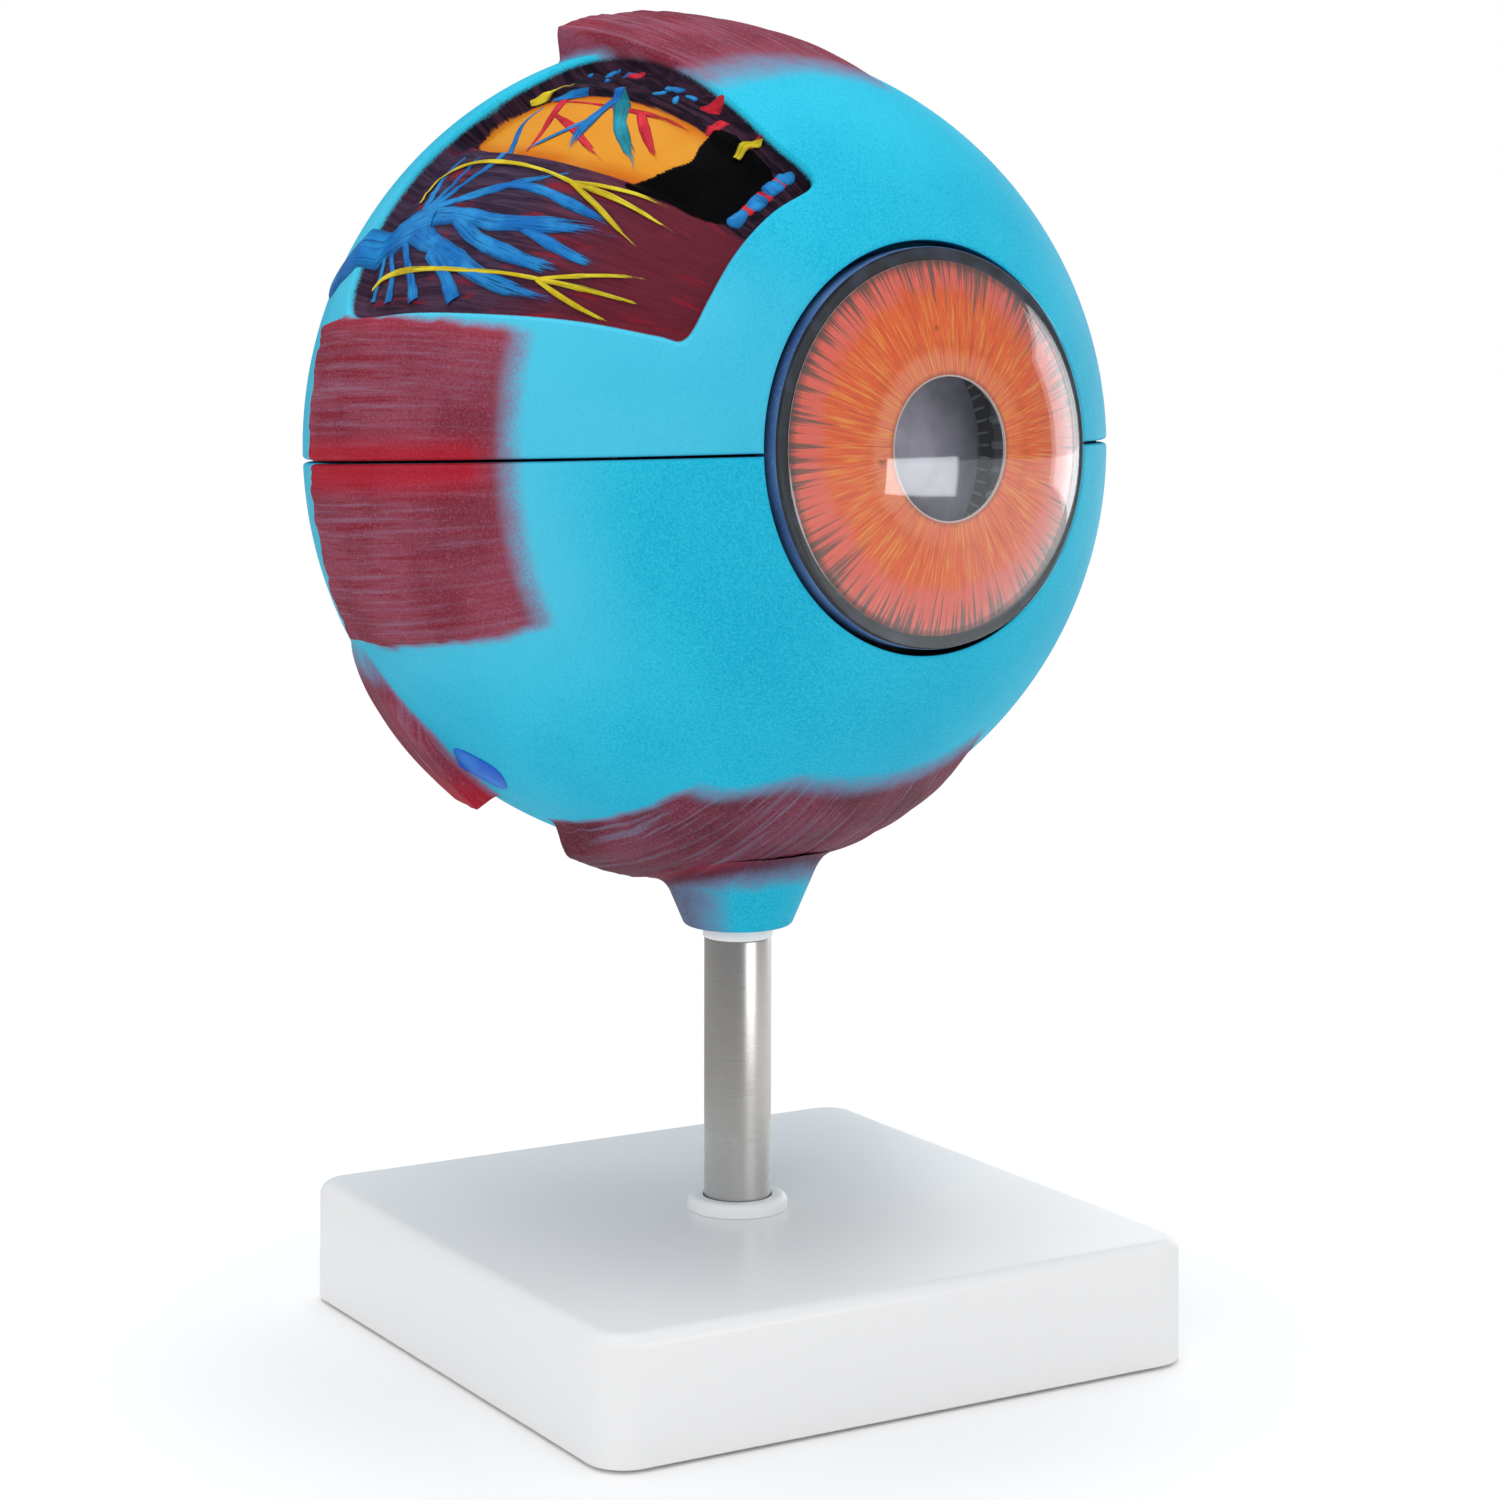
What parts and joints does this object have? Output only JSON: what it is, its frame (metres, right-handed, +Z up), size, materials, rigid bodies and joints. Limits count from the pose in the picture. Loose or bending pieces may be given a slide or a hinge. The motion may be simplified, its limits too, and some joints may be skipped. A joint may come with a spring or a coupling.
{
  "type": "eye anatomy model",
  "caption": "Take-apart model of the human eye, six times life size, on a steel post and a square base: sclera and choroid halves, vitreous body, lens, iris and cornea.",
  "frame": {"origin": "middle of the foot pad's underside, on the axis of the post", "axes": "+Z up along the post, -Y towards the front edge of the base, which the eye looks over, turned a little to +X"},
  "size_m": [0.1523, 0.1592, 0.2411],
  "materials": {
    "base_white": "satin white moulding",
    "foam_pad": "closed-cell foam sheet",
    "post_steel": "ground steel tube with fine scratches",
    "zinc_fixings": "zinc plated",
    "white_trim": "moulded collar",
    "sclera_paint": "turquoise spray paint with maroon painted muscles",
    "choroid_paint": "dark maroon paint outside, orange retina inside",
    "clear_plastic": "clear moulded acrylic",
    "limbus_blue": "slate blue",
    "iris_print": "orange fibre print on a formed sheet",
    "dowel_steel": "ground"
  },
  "bodies": {
    "stand": {"base_plate": "base_white", "foot_pad": "foam_pad", "base_collar": "white_trim", "post_tube": "post_steel", "top_bush": "white_trim", "tie_rod": "zinc_fixings", "base_washer": "zinc_fixings", "base_nut": "zinc_fixings", "swivel_washer": "zinc_fixings", "swivel_nut": "zinc_fixings"},
    "globe": {"lower_sclera": "sclera_paint", "sclera_dowel_1": "dowel_steel", "sclera_dowel_2": "dowel_steel", "sclera_dowel_3": "dowel_steel", "sclera_dowel_4": "dowel_steel"},
    "upper_shell": {"upper_sclera": "sclera_paint"},
    "choroid_top": {"upper_choroid": "choroid_paint"},
    "vitreous": {"vitreous_body": "clear_plastic"},
    "choroid_bottom": {"lower_choroid": "choroid_paint", "choroid_dowel_1": "dowel_steel", "choroid_dowel_2": "dowel_steel"},
    "crystalline_lens": {"lens": "clear_plastic"},
    "cornea_unit": {"limbus_ring": "limbus_blue", "iris": "iris_print", "cornea": "clear_plastic"}
  },
  "joints": [
    {"name": "globe_swivel", "type": "hinge", "parent": "stand", "child": "globe", "pos_m": [0, 0, 0.076], "axis": [0, 0, 1], "continuous": true},
    {"name": "upper_sclera_lift", "type": "slide", "parent": "globe", "child": "upper_shell", "axis": [-0.0048, 0.0434, 0.999], "range_m": [0, 0.28]},
    {"name": "upper_choroid_lift", "type": "slide", "parent": "globe", "child": "choroid_top", "axis": [-0.0048, 0.0434, 0.999], "range_m": [0, 0.2016]},
    {"name": "vitreous_lift", "type": "slide", "parent": "globe", "child": "vitreous", "axis": [-0.0048, 0.0434, 0.999], "range_m": [0, 0.1344]},
    {"name": "lower_choroid_lift", "type": "slide", "parent": "globe", "child": "choroid_bottom", "axis": [-0.0048, 0.0434, 0.999], "range_m": [0, 0.0728]},
    {"name": "cornea_draw", "type": "slide", "parent": "globe", "child": "cornea_unit", "axis": [0.1096, -0.993, 0.0436], "range_m": [0, 0.08]},
    {"name": "lens_draw", "type": "slide", "parent": "vitreous", "child": "crystalline_lens", "axis": [0.1096, -0.993, 0.0436], "range_m": [0, 0.032]}
  ],
  "couplings": [
    {"joint": "upper_choroid_lift", "follows": "upper_sclera_lift", "ratio": 0.72},
    {"joint": "vitreous_lift", "follows": "upper_sclera_lift", "ratio": 0.48},
    {"joint": "lower_choroid_lift", "follows": "upper_sclera_lift", "ratio": 0.26},
    {"joint": "lens_draw", "follows": "cornea_draw", "ratio": 0.4}
  ]
}
